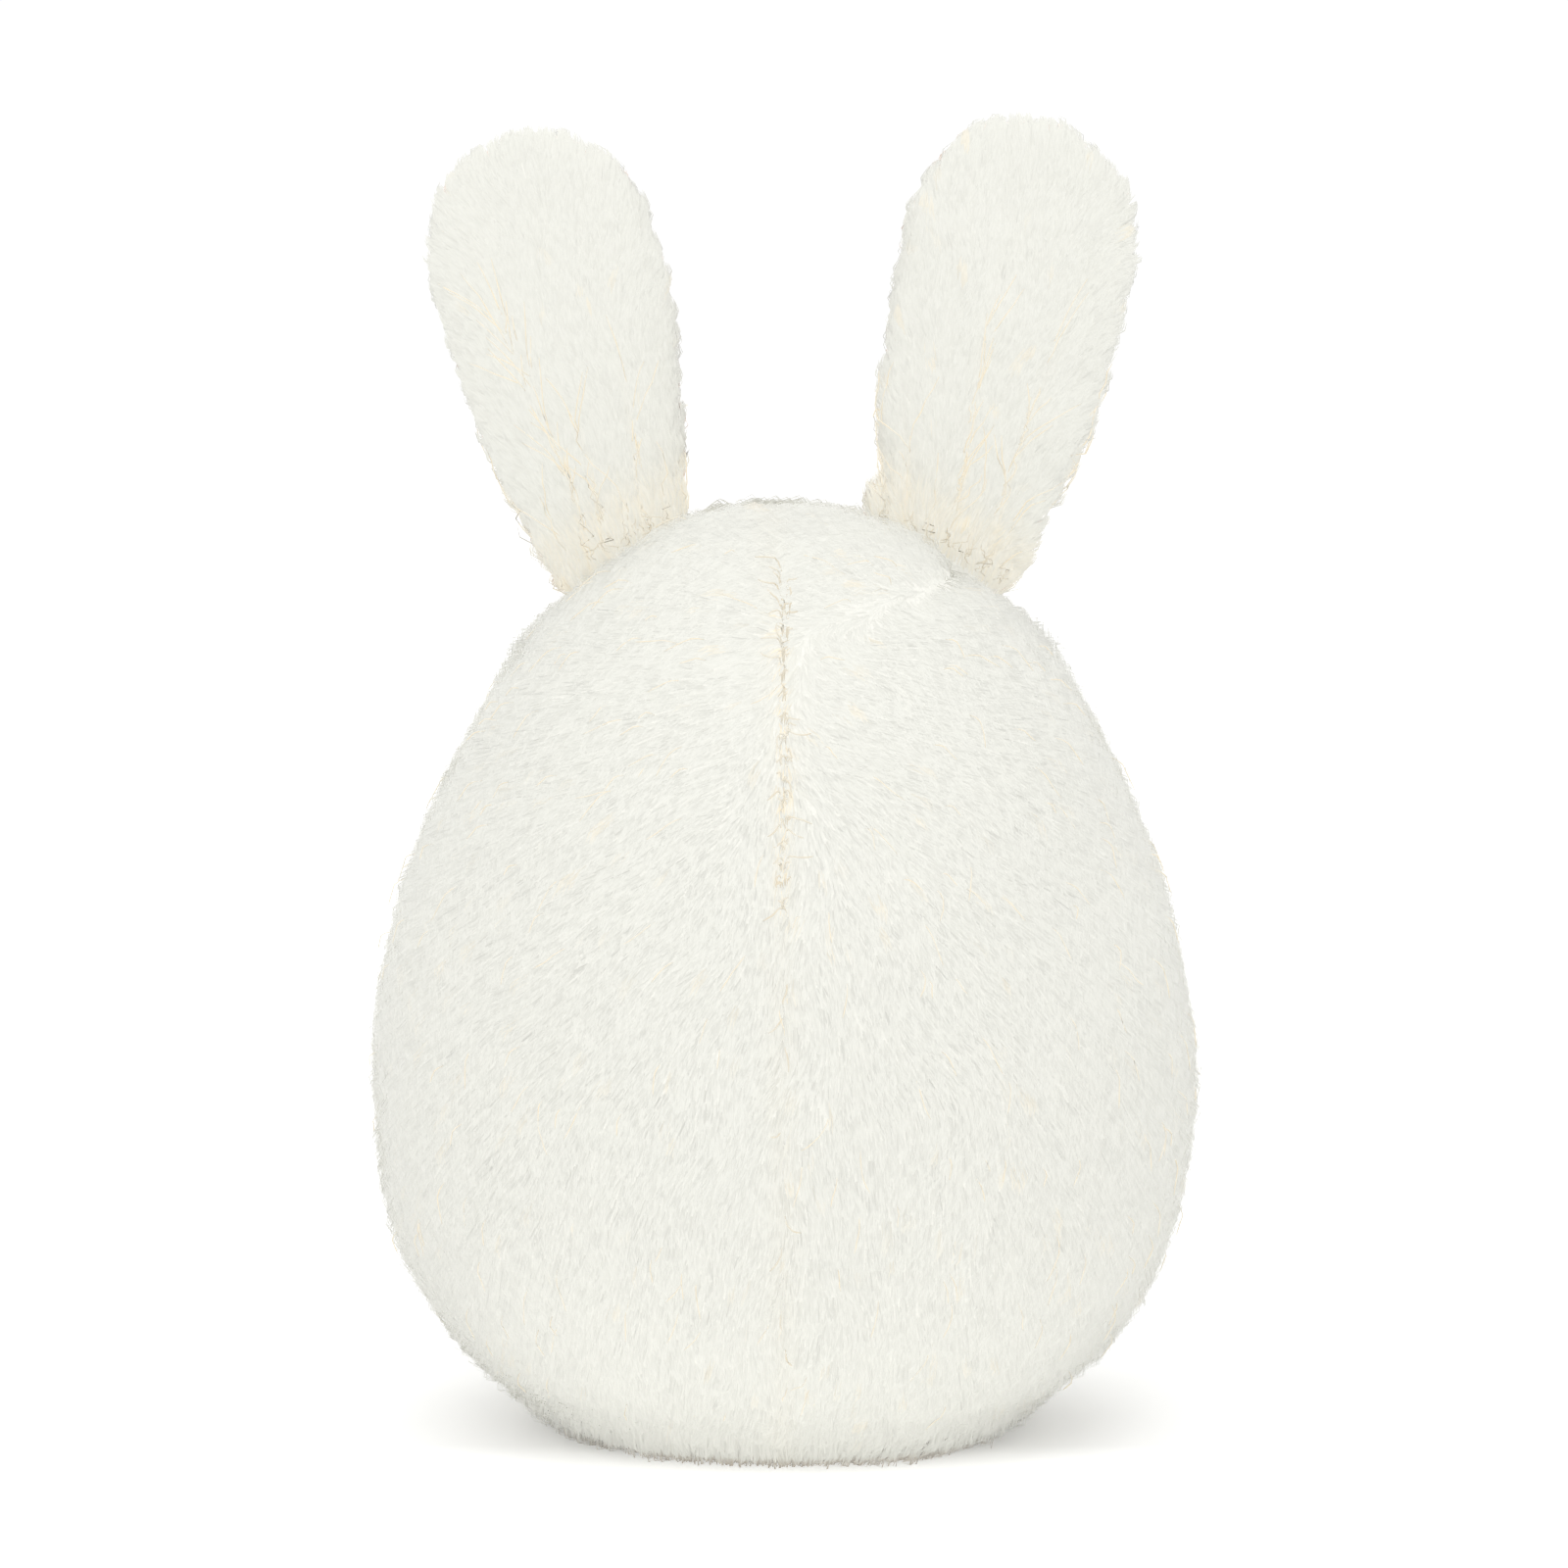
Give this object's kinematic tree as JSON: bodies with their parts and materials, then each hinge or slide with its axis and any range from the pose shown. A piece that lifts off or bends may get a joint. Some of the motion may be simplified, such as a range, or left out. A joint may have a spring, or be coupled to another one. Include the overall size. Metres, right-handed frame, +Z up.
{
  "type": "stuffed bunny rabbit",
  "caption": "White plush rabbit with an egg-shaped body on a weighted base and two padded ears that flop and spring back upright.",
  "frame": {"origin": "on the table under the middle of the body", "axes": "+Z up through the ears, -Y the way the face looks, +X the bunny's left"},
  "size_m": [0.126, 0.126, 0.2],
  "materials": {
    "plush": "soft long-pile plush, off-white, laid downwards",
    "ear_lining": "short velour, warm cream with a hint of pink",
    "fibrefill": "loose white polyester fibre",
    "pouch_cloth": "plain woven cloth",
    "pellet": "smooth translucent plastic",
    "thread": "twisted polyester thread, cream",
    "eye_plastic": "polished black",
    "washer_plastic": "natural white, moulded",
    "embroidery": "satin stitch in dusty pink thread"
  },
  "bodies": {
    "torso": {"front_panel": "plush", "back_left_panel": "plush", "back_right_panel": "plush", "base_panel": "plush", "body_stuffing": "fibrefill", "bean_pouch": "pouch_cloth", "bean_pellets": "pellet", "closing_stitches": "thread", "back_seam_thread": "thread", "side_seam_thread": "thread", "base_seam_thread": "thread", "eye_left": "eye_plastic", "eye_right": "eye_plastic", "eye_washer_left": "washer_plastic", "eye_washer_right": "washer_plastic", "nose": "embroidery", "mouth_stitch": "embroidery", "ear_left_root_thread": "thread", "ear_right_root_thread": "thread"},
    "ear_left": {"ear_left_back_panel": "plush", "ear_left_front_panel": "ear_lining", "ear_left_stuffing": "fibrefill", "ear_left_edge_thread": "thread"},
    "ear_right": {"ear_right_back_panel": "plush", "ear_right_front_panel": "ear_lining", "ear_right_stuffing": "fibrefill", "ear_right_edge_thread": "thread"}
  },
  "joints": [
    {"name": "ear_left_flop", "type": "hinge", "parent": "torso", "child": "ear_left", "pos_m": [0.0254, 0, 0.1378], "axis": [0.866, 0, -0.5], "range_deg": [-80, 80], "stiffness_Nm_per_rad": 0.02},
    {"name": "ear_right_flop", "type": "hinge", "parent": "torso", "child": "ear_right", "pos_m": [-0.0254, 0, 0.1378], "axis": [0.866, 0, 0.5], "range_deg": [-80, 80], "stiffness_Nm_per_rad": 0.02}
  ]
}
